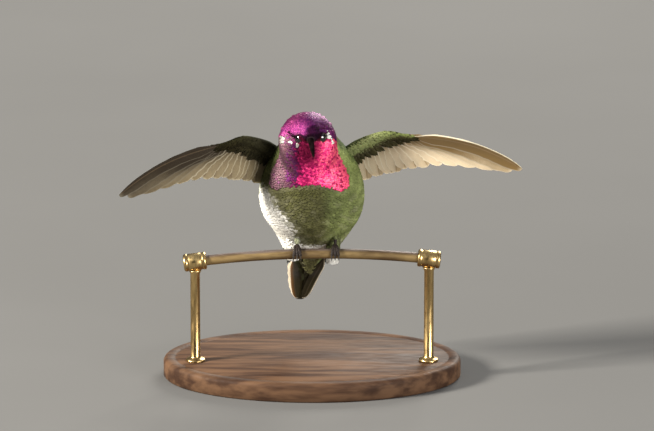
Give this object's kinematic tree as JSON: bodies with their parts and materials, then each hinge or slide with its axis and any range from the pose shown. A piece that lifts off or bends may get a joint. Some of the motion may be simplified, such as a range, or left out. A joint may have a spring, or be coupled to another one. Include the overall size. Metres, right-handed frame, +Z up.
{
  "type": "hummingbird",
  "caption": "Life-size male hummingbird with spread wings and iridescent rose crown and gorget, perched on a short garden wire held by a plain oval display stand.",
  "frame": {"origin": "middle of the underside of the stand's oval base, on the floor", "axes": "+Z up, -Y the way the bird faces, +X towards its left wing tip"},
  "size_m": [0.123, 0.0722, 0.0872],
  "materials": {
    "crown_gorget": "iridescent rose feathers",
    "body_plumage": "soft green-grey feathers",
    "white_tuft": "fluffy white feathers",
    "wing_covert": "small green feathers",
    "flight_feather": "translucent brown feathers",
    "tail_feather": "dusky feathers with pale edges",
    "horn": "satin black horn",
    "eye": "glossy dark eye",
    "toe_skin": "scaly dark skin",
    "perch_wire": "weathered brown coating with rust",
    "stand_wood": "dark stained, satin",
    "stand_brass": "aged satin brass"
  },
  "bodies": {
    "root": {"head": "crown_gorget", "neck": "crown_gorget", "trunk": "body_plumage", "tail": "tail_feather", "bill": "horn", "eye_left": "eye", "eye_right": "eye", "wing_arm_left": "wing_covert", "wing_arm_right": "wing_covert", "wing_secondaries_left": "flight_feather", "wing_secondaries_right": "flight_feather", "wing_primaries_left": "flight_feather", "wing_primaries_right": "flight_feather", "thigh_tuft_left": "white_tuft", "thigh_tuft_right": "white_tuft", "leg_left": "body_plumage", "leg_right": "body_plumage", "foot_left": "toe_skin", "foot_right": "toe_skin", "perch_wire": "perch_wire", "stand_base": "stand_wood", "stand_rod_left": "stand_brass", "stand_rod_right": "stand_brass", "stand_sleeve_left": "stand_brass", "stand_sleeve_right": "stand_brass"}
  },
  "joints": []
}
